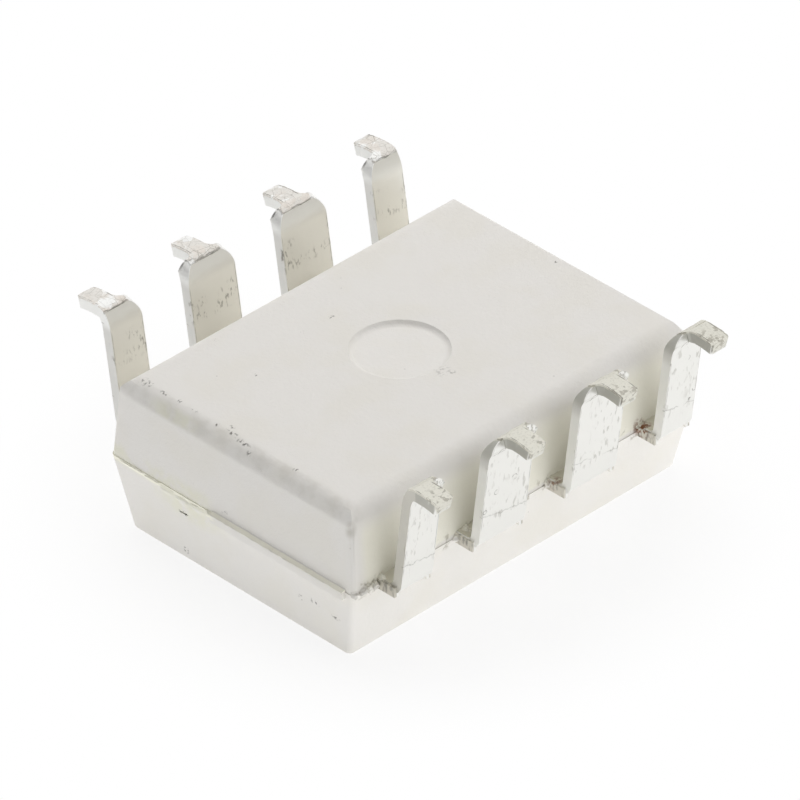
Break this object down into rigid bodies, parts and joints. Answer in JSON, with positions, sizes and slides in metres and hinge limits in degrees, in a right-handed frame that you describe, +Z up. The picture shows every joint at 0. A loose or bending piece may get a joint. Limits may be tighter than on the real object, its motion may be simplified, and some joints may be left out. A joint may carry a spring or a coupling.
{
  "type": "surface-mount optocoupler",
  "caption": "White moulded optocoupler package with gull-wing tin-plated leads along both long sides, lying on its marked face with the solder feet up.",
  "frame": {"origin": "middle of the package's marked face, on the surface that it lies on", "axes": "+Z up from the marked face to the solder feet, +X along the package, +Y across the lead rows towards the row of leads 1 to 4"},
  "size_m": [0.0098, 0.0102, 0.0044],
  "materials": {
    "white_resin": "matte moulded resin with a fine spark texture",
    "tin_plate": "dull bright tin plate with forming marks",
    "emitter_die": "polished chip",
    "detector_die": "polished chip",
    "gold_wire": "drawn gold wire",
    "clear_silicone": "clear silicone gel"
  },
  "bodies": {
    "root": {"moulded_body": "white_resin", "lead_1": "tin_plate", "lead_2": "tin_plate", "lead_3": "tin_plate", "lead_4": "tin_plate", "lead_5": "tin_plate", "lead_6": "tin_plate", "lead_7": "tin_plate", "lead_8": "tin_plate", "emitter_chip_1": "emitter_die", "emitter_chip_2": "emitter_die", "detector_chip_1": "detector_die", "detector_chip_2": "detector_die", "emitter_wire_1": "gold_wire", "emitter_wire_2": "gold_wire", "detector_wire_1": "gold_wire", "detector_wire_2": "gold_wire", "light_dome_1": "clear_silicone", "light_dome_2": "clear_silicone"}
  },
  "joints": []
}
